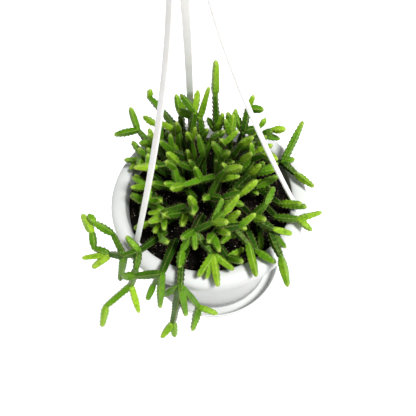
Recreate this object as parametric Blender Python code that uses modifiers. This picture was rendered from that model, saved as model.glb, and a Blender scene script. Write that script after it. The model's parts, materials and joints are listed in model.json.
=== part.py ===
"""Mistletoe cactus in a white plastic hanging pot.

The plant is a clump of jointed, five-ribbed shoots that stand in potting soil. The pot has a wide
turned rim and a drip saucer, and hangs from a moulded hook by three plastic straps.
Lengths are in metres. The origin is the point inside the hook where it hangs, and +Z is up.
"""

import math
import random

import bmesh
import bpy
from mathutils import Matrix, Vector

MM = 0.001
GAP = 0.4 * MM

# Hanging height, from the hook's seat down to the top of the rim
HANG = 340 * MM

# Pot, as (radius, height above the rim's top) down its outside and back up its inside
POT_OUTSIDE = ((84.5, -3), (86.5, -0.8), (90, 0), (95, -0.8), (98.5, -3), (100, -7), (100, -14), (98, -14),
               (97.6, -7.5), (95.5, -4.2), (90, -2.4), (86.8, -4), (86, -16), (67, -158))
POT_INSIDE = ((5, -158), (5, -155.5), (65, -155.5), (84, -16))
DRAIN_HOLES = 6
DRAIN_RADIUS = 4.5 * MM
DRAIN_CIRCLE = 42 * MM
RIM_INNER = 84.5 * MM
RIM_RADIUS = 100 * MM
TURN_STEPS = 28

# Saucer, the same way round, with the peg that holds it to the pot
SAUCER_PROFILE = ((0, -150), (5.8, -150.6), (6.4, -154.6), (4.4, -155), (4.4, -158.4), (70, -158.4), (77.5, -157),
                  (79.8, -144.5), (81.6, -143), (82.6, -144), (79, -159.6), (62, -160.6), (0, -160.6))

# Soil, measured down from the top of the rim
SOIL_LEVEL = -14 * MM
SOIL_SWELL = 1.2 * MM
ROOT_DEPTH = 12 * MM
COLLAR = 4 * MM
ROOT_RADIUS = 2.5 * MM

# Straps and hook
STRAP_ANGLES = (-19, 97, 215)
STRAP_WIDTH = 6.0 * MM
STRAP_THICKNESS = 1.8 * MM
STRAP_FOOT = (88.6 * MM, 5 * MM)
STRAP_BEND = (4 * MM, 206 * MM)
STRAP_TOP = (7 * MM, 288 * MM)
STRAP_STEPS = 16
LUG = (2.8 * MM, 9.8 * MM, 2.4 * MM)
LUG_TOP = -4.4 * MM
SLOT = (2.8 * MM, 6.9 * MM)
CROWN_RADIUS = 13 * MM
CROWN_THICKNESS = 4 * MM
CROWN_BASE = 291 * MM
HOOK_ROD = 2.8 * MM
HOOK_BEND_RADIUS = 13 * MM

# The clump is described as it is seen from the front and above: a joint is named by the place
# where it shows in a square view, in pixels, and by its height above the rim in millimetres.
VIEW_SIDE = 416
VIEW_FOCAL = 473
VIEW_DISTANCE = 480 * MM
VIEW_ELEVATION = math.radians(59.3)
VIEW_ROLL = math.radians(-6.1)
VIEW_RIM_AT = (207.8, 193.0)

# Shoots that give the clump its outline. Each has its root on the soil as (across, down), then its
# segments as (joint that it grows from, across, down, height), where joint 0 is the root.
SHOOTS = {
    "tall_back": ((218, 165), [(0, 217, 131, 38), (1, 215, 95, 72), (2, 216, 60, 104), (1, 223, 113, 58)]),
    "back_pair": ((206, 163), [(0, 202, 137, 38), (1, 200, 118, 56), (2, 209, 87, 84), (2, 177, 110, 66)]),
    "back_fork": ((196, 168), [(0, 191, 140, 36), (1, 195, 112, 68), (2, 180, 94, 80), (2, 198, 90, 86)]),
    "back_left": ((186, 160), [(0, 182, 135, 30), (1, 181, 115, 44), (2, 176, 94, 60), (2, 187, 99, 58)]),
    "left_reach": ((184, 176), [(0, 180, 150, 18), (1, 178, 130, 34), (2, 163, 111, 46), (3, 149, 97, 50),
                                (4, 151, 89, 58)]),
    "left_arm": ((176, 166), [(0, 172, 140, 14), (1, 156, 125, 28), (2, 143, 116, 34)]),
    "left_fork": ((172, 158), [(0, 152, 146, 12), (1, 138, 130, 22), (2, 130, 107, 36), (2, 114, 135, 22)]),
    "left_low": ((166, 176), [(0, 146, 160, 8), (1, 132, 141, 20), (1, 124, 160, 16), (1, 129, 169, 8)]),
    "left_bright": ((178, 190), [(0, 163, 186, 18), (1, 147, 188, 20)]),
    "left_dark": ((184, 207), [(0, 165, 211, 6), (1, 145, 202, 8), (2, 130, 195, 8)]),
    "left_front": ((176, 218), [(0, 161, 225, 8), (1, 148, 223, 8), (2, 134, 229, 10)]),
    "trail_left": ((166, 234), [(0, 139, 251, 8), (1, 124, 256, 2), (2, 110, 254, -4), (3, 94, 248, 0),
                                (3, 82, 258, -8), (3, 92, 268, -14), (2, 113, 234, 10), (7, 95, 223, 14),
                                (8, 88, 214, 16), (4, 92, 232, 8), (10, 82, 214, 14), (2, 120, 281, -26),
                                (1, 126, 236, 20), (1, 136, 269, -6), (14, 131, 285, -22),
                                (15, 106, 306, -38), (16, 102, 327, -54), (15, 139, 313, -44)]),
    "trail_side": ((176, 242), [(0, 162, 273, 8), (1, 135, 276, 2), (2, 122, 276, 0), (1, 154, 284, -4),
                                (4, 147, 300, -18), (1, 160, 308, -20)]),
    "trail_front": ((188, 244), [(0, 181, 265, 8), (1, 180, 286, -6), (2, 160, 296, -10), (2, 173, 322, -42),
                                 (4, 161, 338, -54), (4, 175, 337, -58), (2, 199, 307, -26), (7, 192, 331, -46),
                                 (7, 218, 314, -28), (2, 186, 316, -28)]),
    "front_star": ((203, 218), [(0, 194, 231, 30), (1, 213, 254, 16), (2, 234, 270, 10), (2, 198, 277, 10),
                                (2, 206, 279, 7), (2, 218, 287, 8), (1, 182, 250, 18), (7, 179, 268, 14),
                                (1, 213, 222, 42), (9, 224, 213, 50), (10, 233, 205, 56)]),
    "front_low": ((216, 244), [(0, 228, 258, -3), (1, 244, 248, -2), (1, 243, 264, 7)]),
    "front_long": ((220, 210), [(0, 228, 221, 26), (1, 248, 244, 17), (2, 252, 277, 9)]),
    "front_right": ((238, 220), [(0, 246, 228, 4), (1, 257, 251, 2), (2, 276, 263, 8)]),
    "front_stub": ((259, 226), [(0, 260, 234, 0), (1, 261, 250, -2)]),
    "right_drop": ((256, 214), [(0, 270, 231, 20), (1, 281, 257, 13), (2, 288, 287, 0), (1, 286, 248, 8)]),
    "right_sweep": ((238, 206), [(0, 253, 217, 30), (1, 274, 229, 26), (2, 292, 234, 18)]),
    "right_fork": ((264, 206), [(0, 276, 217, 8), (1, 298, 219, 9), (2, 322, 212, 14), (2, 312, 231, 6)]),
    "right_pair": ((258, 192), [(0, 281, 204, 14), (1, 304, 197, 18), (1, 307, 207, 12)]),
    "right_reach": ((264, 164), [(0, 283, 162, 6), (1, 303, 121, 34), (1, 295, 159, 14), (1, 296, 174, 8),
                                 (4, 314, 187, 8)]),
    "back_right": ((244, 162), [(0, 252, 143, 26), (1, 262, 134, 36), (2, 273, 130, 40), (3, 286, 129, 44),
                                (2, 280, 139, 30)]),
    "back_steps": ((236, 158), [(0, 243, 132, 42), (1, 248, 108, 62), (2, 254, 95, 74), (2, 264, 110, 62),
                                (1, 260, 127, 44), (5, 266, 118, 50)]),
    "back_tip": ((229, 162), [(0, 230, 135, 42), (1, 236, 109, 66), (1, 228, 112, 66)]),
}

# Shoots that fill the clump, rooted on a spiral of this spacing and grown by the rule in fill_shoots
FILL_ROOTS = 40
FILL_MOST = 28
FILL_SPACING = 7.6 * MM
FILL_CENTRE = (2 * MM, 4 * MM)
ROOT_SPACING = 7.6 * MM
MAX_LEAN = math.radians(74)
DOME_RADIUS = 96 * MM
FILL_OUTLINE = (206, 178, 76, 76)
FILL_STAGES = ((25 * MM, 0.9, 2), (20 * MM, 0.9, 1))
SIDE_STAGES = ((21 * MM, 1.1, 2),)
LATE_ROUNDS = 3
LATE_LENGTH = 20 * MM
MOST_SEGMENTS = 344
BARE_SOIL = ((134, 205, 10), (232, 258, 13), (284, 203, 8))
SEED = 7

# One segment, as (share of its length, share of its radius)
SEGMENT_PROFILE = ((0.0, 0.5), (0.45, 1.0), (1.0, 0.72))
SINK = 1.6 * MM
OLD_RADIUS = 4.4 * MM
YOUNG_RADIUS = 4.0 * MM

WHITE_PLASTIC = (0.86, 0.87, 0.85)
STRAP_WHITE = (0.9, 0.9, 0.86)
SOIL_BROWN = (0.035, 0.025, 0.018)
OLD_GREEN = (0.05, 0.2, 0.03)
YOUNG_GREEN = (0.24, 0.47, 0.05)


def clear_scene():
    for obj in list(bpy.data.objects):
        bpy.data.objects.remove(obj, do_unlink=True)


def material(name, colour, roughness):
    made = bpy.data.materials.new(name)
    made.use_nodes = True
    shader = made.node_tree.nodes["Principled BSDF"]
    shader.inputs["Base Color"].default_value = (*colour, 1)
    shader.inputs["Roughness"].default_value = roughness
    return made


# Where things are seen, and where they are


def view_axes():
    """The view's right, up and backward directions, and where its eye stands."""
    back = Vector((0, -math.cos(VIEW_ELEVATION), math.sin(VIEW_ELEVATION)))
    level = Vector((1, 0, 0))
    upright = back.cross(level)
    right = level * math.cos(VIEW_ROLL) + upright * math.sin(VIEW_ROLL)
    up = upright * math.cos(VIEW_ROLL) - level * math.sin(VIEW_ROLL)
    middle = VIEW_SIDE / 2
    scale = VIEW_DISTANCE / VIEW_FOCAL
    eye = back * VIEW_DISTANCE
    eye -= right * (VIEW_RIM_AT[0] - middle) * scale + up * (middle - VIEW_RIM_AT[1]) * scale
    return right, up, back, eye


def seen_at(across, down, height):
    """The point at this height above the rim that shows at this place in the view."""
    right, up, back, eye = view_axes()
    middle = VIEW_SIDE / 2
    ray = right * (across - middle) + up * (middle - down) - back * VIEW_FOCAL
    return eye + ray * ((height - eye.z) / ray.z)


def sight_line(point):
    return (point - view_axes()[3]).normalized()


def soil_height(x, y):
    """The soil's top above the rim's level: a low swell, a little higher in the middle."""
    swell = math.sin(x / (19 * MM)) * math.cos(y / (23 * MM)) + 0.6 * math.sin((x + y) / (11 * MM))
    return SOIL_LEVEL + SOIL_SWELL * swell


def seen_where(point):
    """The place in the view, in pixels, where a point shows."""
    right, up, back, eye = view_axes()
    ray = point - eye
    depth = -ray.dot(back)
    middle = VIEW_SIDE / 2
    return middle + VIEW_FOCAL * ray.dot(right) / depth, middle - VIEW_FOCAL * ray.dot(up) / depth


def strap_point(share):
    """(radius, height) on a strap's middle line, from just over the rim at 0 to the crown at 1."""
    rest = 1 - share
    return tuple(rest * rest * STRAP_FOOT[i] + 2 * share * rest * STRAP_BEND[i] + share * share * STRAP_TOP[i]
                 for i in (0, 1))


def around(angle, radius, height):
    return Vector((radius * math.cos(angle), radius * math.sin(angle), height))


# Growing the clump


class Segment:
    """One joint-to-joint length of stem, from start to tip."""

    def __init__(self, shoot, start, tip, radius, parent, order):
        self.shoot, self.start, self.tip, self.radius = shoot, start, tip, radius
        self.parent, self.order = parent, order


def closest(a, b, c, d):
    """The distance between the stretches a-b and c-d."""
    u, v, w = b - a, d - c, a - c
    uu, uv, vv, uw, vw = u.dot(u), u.dot(v), v.dot(v), u.dot(w), v.dot(w)
    span = uu * vv - uv * uv
    s = min(1, max(0, (uv * vw - vv * uw) / span)) if span > 1e-14 else 0
    t = min(1, max(0, (uv * s + vw) / vv))
    s = min(1, max(0, (uv * t - uw) / uu))
    return (w + u * s - v * t).length


def clear_of_pot(start, tip, radius, from_root):
    """Whether a segment stays over the soil and clear of the rim."""
    steps = 8
    for i in range(1 if from_root else 0, steps + 1):
        share = i / steps
        p = start.lerp(tip, share)
        out = math.hypot(p.x, p.y)
        thick = radius * (0.6 if share < 0.1 else 1)
        if p.z - thick > GAP:
            continue
        if out + thick < RIM_INNER - GAP:
            if p.z - thick < soil_height(p.x, p.y) + GAP:
                return False
        elif out - thick < RIM_RADIUS + GAP:
            return False
    return True


def clear_of_straps(start, tip, radius):
    points = [(STRAP_FOOT[0], 0)] + [strap_point(i / STRAP_STEPS) for i in range(STRAP_STEPS + 1)]
    reach = radius + STRAP_WIDTH / 2 + GAP
    for angle in STRAP_ANGLES:
        line = [around(math.radians(angle), *p) for p in points]
        if any(closest(start, tip, a, b) < reach for a, b in zip(line, line[1:])):
            return False
    return True


def is_clear(segment, grown):
    """Whether a segment keeps off the pot, the straps and all that has grown, but for what it grows from."""
    from_root = segment.parent is None
    if not clear_of_pot(segment.start, segment.tip, segment.radius, from_root):
        return False
    if not clear_of_straps(segment.start, segment.tip, segment.radius):
        return False
    for other in grown:
        if other.shoot == segment.shoot:
            if other is segment.parent or other.parent is segment.parent or other.tip == segment.start:
                continue
        if closest(segment.start, segment.tip, other.start, other.tip) < segment.radius + other.radius + GAP:
            return False
    return True


def shifts():
    """Ways to bend a tip clear, nearest first: along the line of sight, then sideways."""
    found = [(0, 0, 0)]
    for along in range(-14, 15, 2):
        for across in range(-6, 7, 2):
            for up in range(-6, 7, 2):
                found.append((along, across, up))
    return sorted(found, key=lambda s: (abs(s[0]) + 3 * (abs(s[1]) + abs(s[2])), s))


def bent_clear(segment, grown):
    """Moves the segment's tip as little as it takes to clear its neighbours, or says that it can't."""
    wanted = segment.tip.copy()
    sight = sight_line(wanted)
    right, up = view_axes()[:2]
    for along, across, rise in SHIFTS:
        segment.tip = wanted + (sight * along + right * across + up * rise) * MM
        if is_clear(segment, grown):
            return True
    return False


SHIFTS = shifts()


def radius_of(order, draw):
    young = min(order, 3) / 3
    return (OLD_RADIUS + (YOUNG_RADIUS - OLD_RADIUS) * young) * draw.uniform(0.93, 1.05)


def ribs_of(segment):
    """Old joints have five ribs, later ones four, and the youngest three."""
    if segment.parent is None:
        return 4
    return 5 if segment.order == 1 else 4 if segment.order == 2 else 3


def root_segment(shoot, x, y):
    """The short upright length that stands in the soil, with its collar just above it."""
    top = soil_height(x, y) + COLLAR
    return Segment(shoot, Vector((x, y, top - COLLAR - ROOT_DEPTH)), Vector((x, y, top)), ROOT_RADIUS, None, 0)


def outline_shoots(draw):
    """The shoots read from the view."""
    grown, missed = [], []
    for name, ((across, down), rows) in SHOOTS.items():
        root = seen_at(across, down, SOIL_LEVEL)
        joints = [root_segment(name, root.x, root.y)]
        grown.append(joints[0])
        for parent_at, across_at, down_at, height in rows:
            parent = joints[parent_at]
            if parent is None:
                joints.append(None)
                continue
            tip = seen_at(across_at, down_at, height * MM)
            order = parent.order + 1
            segment = Segment(name, parent.tip.copy(), tip, radius_of(order, draw), parent, order)
            if bent_clear(segment, grown):
                grown.append(segment)
                joints.append(segment)
            else:
                missed.append((name, len(joints)))
                joints.append(None)
    return grown, missed


def in_clump(point):
    """Whether a point lies in the dome and shows inside the clump, away from its patches of bare soil."""
    if (point - Vector((0, 0, SOIL_LEVEL))).length > DOME_RADIUS:
        return False
    across, down = seen_where(point)
    middle_across, middle_down, half_across, half_down = FILL_OUTLINE
    if ((across - middle_across) / half_across) ** 2 + ((down - middle_down) / half_down) ** 2 > 1:
        return False
    return all(math.hypot(across - a, down - d) > wide for a, d, wide in BARE_SOIL)


def room_at(point, grown):
    """How far a point is from the nearest tip that has grown."""
    return min((point - other.tip).length for other in grown)


def sprout(stem, length, spread, lean_to, draw, grown, tries=16):
    """A new segment from a stem's tip: of the clear ways it could take, the one into the most open space."""
    heading = (stem.tip - stem.start).normalized()
    order = stem.order + 1
    best, most = None, 0
    for _ in range(tries):
        wild = Vector([draw.uniform(-1, 1) for _ in range(3)])
        aim = (heading + wild * spread + lean_to).normalized()
        tip = stem.tip + aim * length * draw.uniform(0.8, 1.15)
        if not in_clump(tip):
            continue
        made = Segment(stem.shoot, stem.tip.copy(), tip, radius_of(order, draw), stem, order)
        if is_clear(made, grown) and room_at(tip, grown) > most:
            best, most = made, room_at(tip, grown)
    if best:
        grown.append(best)
    return best


def outward(point, lean):
    angle = math.atan2(point.y, point.x)
    return around(angle, math.sin(lean), math.cos(lean))


def lean_at(point):
    return MAX_LEAN * min(1, math.hypot(point.x, point.y) / (66 * MM))


def branch(tips, stages, aim, draw, grown):
    """Grows each tip on through the stages, given as (length, spread, most new segments at a tip)."""
    for length, spread, most in stages:
        new = []
        for tip in tips:
            for _ in range(draw.randint(1, most)):
                new.append(sprout(tip, length, spread, aim * 0.35, draw, grown))
        tips = [tip for tip in new if tip]


def fill_shoots(grown, draw):
    """Shoots on a spiral of roots, leaning out from the middle, that branch wherever there is room."""
    roots = [s.tip for s in grown if s.parent is None]
    turn = math.pi * (3 - math.sqrt(5))
    made = 0
    for i in range(FILL_ROOTS):
        out = FILL_SPACING * math.sqrt(i + 0.5)
        x = FILL_CENTRE[0] + out * math.cos(i * turn)
        y = FILL_CENTRE[1] + out * math.sin(i * turn)
        if made == FILL_MOST or any(math.hypot(x - r.x, y - r.y) < ROOT_SPACING for r in roots):
            continue
        root = root_segment(f"fill_{i:02d}", x, y)
        if any(closest(root.start, root.tip, s.start, s.tip) < root.radius + s.radius + GAP for s in grown):
            continue
        aim = outward(root.tip, lean_at(root.tip))
        grown.append(root)
        stem = sprout(root, 27 * MM, 0.35, aim * 1.5, draw, grown, 30)
        if stem is None:
            grown.remove(root)
            continue
        made += 1
        roots.append(root.tip)
        branch([stem], FILL_STAGES, aim, draw, grown)
    for tip in [s for s in grown if s.parent and s.order <= 2 and not s.shoot.startswith("fill")]:
        if in_clump(tip.tip):
            branch([tip], SIDE_STAGES, outward(tip.tip, lean_at(tip.tip)), draw, grown)


def late_segments(grown, draw):
    """Short new growth from joints that still have room, wherever the clump is most open."""
    joints = [s for s in grown if s.parent and s.order <= 3 and in_clump(s.tip)]
    for _ in range(LATE_ROUNDS):
        draw.shuffle(joints)
        for joint in joints:
            if len(grown) >= MOST_SEGMENTS:
                return
            if sum(s.parent is joint for s in grown) < 3:
                sprout(joint, LATE_LENGTH, 1.1, outward(joint.tip, lean_at(joint.tip)) * 0.4, draw, grown, 10)


def grow_clump():
    draw = random.Random(SEED)
    grown, missed = outline_shoots(draw)
    fill_shoots(grown, draw)
    late_segments(grown, draw)
    return grown, missed
# Solids


def link(name, mesh, paint, collection):
    obj = bpy.data.objects.new(name, mesh)
    collection.objects.link(obj)
    mesh.materials.append(paint)
    return obj


def spun(name, points, steps, paint, collection):
    """A turned piece, from a profile of (radius, height) that runs down its outside."""
    mesh = bpy.data.meshes.new(name)
    bm = bmesh.new()
    verts = [bm.verts.new((r, 0, z)) for r, z in points]
    for a, b in zip(verts, verts[1:]):
        bm.edges.new((a, b))
    if points[0][0] > 0:
        bm.edges.new((verts[-1], verts[0]))
    bm.to_mesh(mesh)
    bm.free()
    obj = link(name, mesh, paint, collection)
    screw = obj.modifiers.new("Turn", "SCREW")
    screw.steps = screw.render_steps = steps
    screw.use_merge_vertices = True
    screw.merge_threshold = 0.00001
    return obj


def applied(obj):
    """Bakes an object's modifiers into its mesh."""
    graph = bpy.context.evaluated_depsgraph_get()
    mesh = bpy.data.meshes.new_from_object(obj.evaluated_get(graph))
    obj.modifiers.clear()
    old = obj.data
    obj.data = mesh
    bpy.data.meshes.remove(old)
    return obj


def box(name, size, paint, collection):
    mesh = bpy.data.meshes.new(name)
    bm = bmesh.new()
    bmesh.ops.create_cube(bm, size=1)
    bmesh.ops.scale(bm, vec=size, verts=bm.verts)
    bm.to_mesh(mesh)
    bm.free()
    return link(name, mesh, paint, collection)


def cylinder(name, radius, depth, sides, paint, collection):
    mesh = bpy.data.meshes.new(name)
    bm = bmesh.new()
    bmesh.ops.create_cone(bm, cap_ends=True, segments=sides, radius1=radius, radius2=radius, depth=depth)
    bm.to_mesh(mesh)
    bm.free()
    return link(name, mesh, paint, collection)


def combine(target, others, operation, solver="EXACT"):
    """Cuts or joins a target with all the objects in a collection at once, and removes them."""
    boolean = target.modifiers.new("Combine", "BOOLEAN")
    boolean.operation = operation
    boolean.operand_type = "COLLECTION"
    boolean.collection = others
    boolean.solver = solver
    applied(target)
    for obj in list(others.objects):
        bpy.data.objects.remove(obj, do_unlink=True)
    bpy.data.collections.remove(others)
    return target


def helper(name):
    """A collection for pieces that only cut or join another."""
    made = bpy.data.collections.new(name)
    bpy.context.scene.collection.children.link(made)
    return made


def hide(obj):
    obj.hide_render = True
    obj.display_type = "WIRE"


def smoothed(obj, degrees=35):
    obj.data.shade_smooth()
    obj.data.set_sharp_from_angle(angle=math.radians(degrees))


def millimetres(points):
    return [(r * MM, z * MM) for r, z in points]


def make_pot(paint, collection):
    """The pot: a thin tapered wall under a broad turned rim, with slots for the straps and drain holes."""
    pot = applied(spun("pot", millimetres(POT_OUTSIDE + POT_INSIDE), TURN_STEPS, paint, collection))
    cutters = helper("pot_cutters")
    for degrees in STRAP_ANGLES:
        slot = box("slot", (SLOT[0], SLOT[1], 9 * MM), paint, cutters)
        slot.location = around(math.radians(degrees), STRAP_FOOT[0], 0)
        slot.rotation_euler.z = math.radians(degrees)
        hide(slot)
    for i in range(DRAIN_HOLES):
        hole = cylinder("drain", DRAIN_RADIUS, 12 * MM, 10, paint, cutters)
        hole.location = around(i * math.tau / DRAIN_HOLES, DRAIN_CIRCLE, POT_INSIDE[0][1] * MM)
        hide(hole)
    combine(pot, cutters, "DIFFERENCE")
    smoothed(pot)
    return pot


def make_saucer(paint, collection):
    """The saucer: a dish under the pot, with a peg that snaps through the hole in the pot's floor."""
    saucer = applied(spun("saucer", millimetres(SAUCER_PROFILE), TURN_STEPS, paint, collection))
    smoothed(saucer)
    return saucer


def make_soil(roots, paint, collection):
    """The soil: it fills the pot to below the rim, with a low relief and a blind hole for each root."""
    wall_top, wall_base = (82.9, -20.0), (64.4, -154.9)
    edge = (82.6, SOIL_LEVEL / MM)
    rings = [(edge[0] * i / 2, edge[1]) for i in range(3)]
    profile = millimetres(rings + [wall_top, wall_base, (8, -154.9), (8, -149), (0, -149)])
    soil = applied(spun("soil", profile, TURN_STEPS, paint, collection))
    for vertex in soil.data.vertices:
        if abs(vertex.co.z - SOIL_LEVEL) < 0.0001:
            vertex.co.z = soil_height(vertex.co.x, vertex.co.y)
    holes = helper("soil_holes")
    for root in roots:
        hole = cylinder("root_hole", ROOT_RADIUS + 0.6 * MM, 2 * ROOT_DEPTH + 2 * GAP, 6, paint, holes)
        hole.location = (root.tip.x, root.tip.y, root.tip.z - COLLAR)
        hide(hole)
    combine(soil, holes, "DIFFERENCE")
    return soil


def make_straps(paint, collection):
    """The three straps: flat strips bowed from the crown to the rim, with a lug at each end."""
    path = [(STRAP_FOOT[0], LUG_TOP - LUG[2] / 2)]
    path += [strap_point(i / STRAP_STEPS) for i in range(STRAP_STEPS + 1)]
    path += [(STRAP_TOP[0], CROWN_BASE + CROWN_THICKNESS + GAP + LUG[2] / 2)]
    straps = []
    for number, degrees in enumerate(STRAP_ANGLES, 1):
        mesh = bpy.data.meshes.new("strap")
        bm = bmesh.new()
        line = [bm.verts.new((r, -STRAP_WIDTH / 2, z)) for r, z in path]
        edges = [bm.edges.new(pair) for pair in zip(line, line[1:])]
        wide = bmesh.ops.extrude_edge_only(bm, edges=edges)["geom"]
        moved = [v for v in wide if isinstance(v, bmesh.types.BMVert)]
        bmesh.ops.translate(bm, verts=moved, vec=(0, STRAP_WIDTH, 0))
        bm.to_mesh(mesh)
        bm.free()
        strap = link(f"hanger_strap_{number}", mesh, paint, collection)
        solid = strap.modifiers.new("Thickness", "SOLIDIFY")
        solid.thickness = STRAP_THICKNESS
        solid.offset = 0
        applied(strap)
        lugs = helper("lugs")
        foot = box("foot_lug", LUG, paint, lugs)
        foot.location = (STRAP_FOOT[0], 0, LUG_TOP - LUG[2] / 2)
        head = box("head_lug", LUG, paint, lugs)
        head.location = (STRAP_TOP[0], 0, CROWN_BASE + CROWN_THICKNESS + GAP + LUG[2] / 2)
        for lug in (foot, head):
            hide(lug)
        combine(strap, lugs, "UNION")
        strap.rotation_euler.z = math.radians(degrees)
        straps.append(strap)
    return straps


def make_hook(paint, collection):
    """The hook: a round crown that the straps pass through, and a bent rod that rises from it."""
    hook = cylinder("hanger_hook", CROWN_RADIUS, CROWN_THICKNESS, 24, paint, collection)
    hook.location.z = CROWN_BASE + CROWN_THICKNESS / 2
    slots = helper("crown_slots")
    for degrees in STRAP_ANGLES:
        slot = box("slot", (SLOT[0], SLOT[1], 9 * MM), paint, slots)
        slot.location = around(math.radians(degrees), STRAP_TOP[0], hook.location.z)
        slot.rotation_euler.z = math.radians(degrees)
        hide(slot)
    hook.data.transform(hook.matrix_basis)
    hook.matrix_basis = Matrix.Identity(4)
    combine(hook, slots, "DIFFERENCE")
    centre = HANG - HOOK_BEND_RADIUS + HOOK_ROD
    curve = bpy.data.curves.new("rod", "CURVE")
    curve.dimensions = "3D"
    curve.bevel_depth = HOOK_ROD
    curve.bevel_resolution = 1
    curve.use_fill_caps = True
    spline = curve.splines.new("POLY")
    points = [(0, CROWN_BASE + CROWN_THICKNESS / 2), (0, centre - 17 * MM), (4 * MM, centre - 13.5 * MM)]
    for degrees in range(-40, 216, 17):
        turn = math.radians(degrees)
        points.append((HOOK_BEND_RADIUS * math.cos(turn), centre + HOOK_BEND_RADIUS * math.sin(turn)))
    spline.points.add(len(points) - 1)
    for point, (x, z) in zip(spline.points, points):
        point.co = (x, 0, z, 1)
    guide = bpy.data.objects.new("rod_curve", curve)
    collection.objects.link(guide)
    graph = bpy.context.evaluated_depsgraph_get()
    mesh = bpy.data.meshes.new_from_object(guide.evaluated_get(graph))
    bpy.data.objects.remove(guide, do_unlink=True)
    bm = bmesh.new()
    bm.from_mesh(mesh)
    bmesh.ops.remove_doubles(bm, verts=bm.verts, dist=0.00001)
    bmesh.ops.recalc_face_normals(bm, faces=bm.faces)
    bm.to_mesh(mesh)
    bm.free()
    rods = helper("rods")
    hide(link("rod", mesh, paint, rods))
    combine(hook, rods, "UNION")
    smoothed(hook)
    return hook


def segment_mesh(segment, paint, collection):
    """One ribbed segment: a profile turned in as many steps as it has ribs, narrowed at both joints."""
    along = segment.tip - segment.start
    length, ribs = along.length, ribs_of(segment)
    if segment.parent is None:
        points = [(segment.radius, 0), (segment.radius, length)]
    else:
        points = [(share_wide * segment.radius, share * length) for share, share_wide in SEGMENT_PROFILE]
        points[0] = (points[0][0], -SINK)
    mesh = bpy.data.meshes.new("segment")
    bm = bmesh.new()
    verts = [bm.verts.new((r, 0, z)) for r, z in reversed(points)]
    edges = [bm.edges.new(pair) for pair in zip(verts, verts[1:])]
    bmesh.ops.spin(bm, geom=verts + edges, cent=(0, 0, 0), axis=(0, 0, 1), angle=math.tau, steps=ribs,
                   use_merge=True)
    bmesh.ops.remove_doubles(bm, verts=bm.verts, dist=0.00001)
    bmesh.ops.holes_fill(bm, edges=bm.edges)
    bmesh.ops.recalc_face_normals(bm, faces=bm.faces)
    bm.to_mesh(mesh)
    bm.free()
    made = link("segment", mesh, paint, collection)
    made.matrix_basis = Matrix.Translation(segment.start) @ along.to_track_quat("Z", "Y").to_matrix().to_4x4()
    return made


def make_shoot(name, segments, paint, collection):
    """One branching stem: its segments, fused at their joints."""
    body = segment_mesh(segments[0], paint, collection)
    body.name = name
    body.data.transform(body.matrix_basis)
    body.matrix_basis = Matrix.Identity(4)
    rest = helper("segments")
    for segment in segments[1:]:
        hide(segment_mesh(segment, paint, rest))
    combine(body, rest, "UNION")
    body.data.name = name
    return body


def build():
    clear_scene()
    model = bpy.data.collections.new("Mistletoe cactus")
    bpy.context.scene.collection.children.link(model)
    plastic = material("White plastic", WHITE_PLASTIC, 0.45)
    strap_plastic = material("Strap plastic", STRAP_WHITE, 0.4)
    earth = material("Potting soil", SOIL_BROWN, 0.95)
    old = material("Old stem", OLD_GREEN, 0.5)
    young = material("Young stem", YOUNG_GREEN, 0.45)
    grown, _ = grow_clump()
    lift = Vector((0, 0, -HANG))
    made = [make_pot(plastic, model), make_saucer(plastic, model)]
    made.append(make_soil([s for s in grown if s.parent is None], earth, model))
    made += make_straps(strap_plastic, model)
    made.append(make_hook(strap_plastic, model))
    shoots = {}
    for segment in grown:
        shoots.setdefault(segment.shoot, []).append(segment)
    for name, segments in shoots.items():
        fresh = sum(s.order >= 3 for s in segments) * 2 > len(segments)
        made.append(make_shoot(f"stem_{name}", segments, young if fresh else old, model))
    for obj in made:
        obj.location += lift


build()
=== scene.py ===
"""The looks of a mistletoe cactus in a white plastic hanging pot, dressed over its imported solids."""

import json
import math
import random

import bmesh
import bpy
from mathutils import Matrix, Vector

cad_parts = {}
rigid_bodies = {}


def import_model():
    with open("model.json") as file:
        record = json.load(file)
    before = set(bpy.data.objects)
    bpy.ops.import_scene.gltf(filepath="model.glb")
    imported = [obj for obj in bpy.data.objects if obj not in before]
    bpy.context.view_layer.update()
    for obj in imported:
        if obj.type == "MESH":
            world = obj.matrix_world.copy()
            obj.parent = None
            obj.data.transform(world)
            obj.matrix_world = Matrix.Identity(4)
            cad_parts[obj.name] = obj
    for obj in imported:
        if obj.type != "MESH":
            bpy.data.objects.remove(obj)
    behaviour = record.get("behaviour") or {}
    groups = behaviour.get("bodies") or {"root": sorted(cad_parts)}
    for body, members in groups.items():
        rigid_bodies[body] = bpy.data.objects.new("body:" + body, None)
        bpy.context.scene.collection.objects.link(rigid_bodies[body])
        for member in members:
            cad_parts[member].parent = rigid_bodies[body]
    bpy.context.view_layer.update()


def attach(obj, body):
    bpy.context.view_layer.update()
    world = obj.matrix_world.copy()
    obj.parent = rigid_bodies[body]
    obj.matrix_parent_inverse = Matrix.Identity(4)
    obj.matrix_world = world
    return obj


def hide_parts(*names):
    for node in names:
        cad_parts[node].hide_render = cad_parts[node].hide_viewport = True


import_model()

# The pot. It is moulded from white polypropylene, now a little scuffed and dusty: a thin tapered wall under a
# broad rounded rim, with slots for the straps and holes in its floor. It hangs from the hook's seat, the
# origin, and its heights are measured from the rim's top, which lies HANG below.
MM = 0.001
HANG = 0.340
POT_OUTSIDE = ((84.5, -3.2), (84.6, -2.2), (85.2, -1.3), (86.5, -0.6), (88.2, -0.15), (90, 0),
               (92.5, -0.15), (95, -0.7), (97.2, -1.7), (98.9, -3.3), (99.8, -5.4), (100, -7.6),
               (100, -13.2), (99.8, -13.8), (99.2, -14), (98.4, -13.9), (98.1, -13.2), (97.7, -7.8),
               (96.9, -5.7), (95.2, -4.1), (92.6, -2.9), (90, -2.5), (88, -3.1), (86.9, -4.4), (86, -16),
               (85.2, -17.2), (84.9, -19), (67.6, -155), (66.8, -157.4), (65.4, -158))
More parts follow.
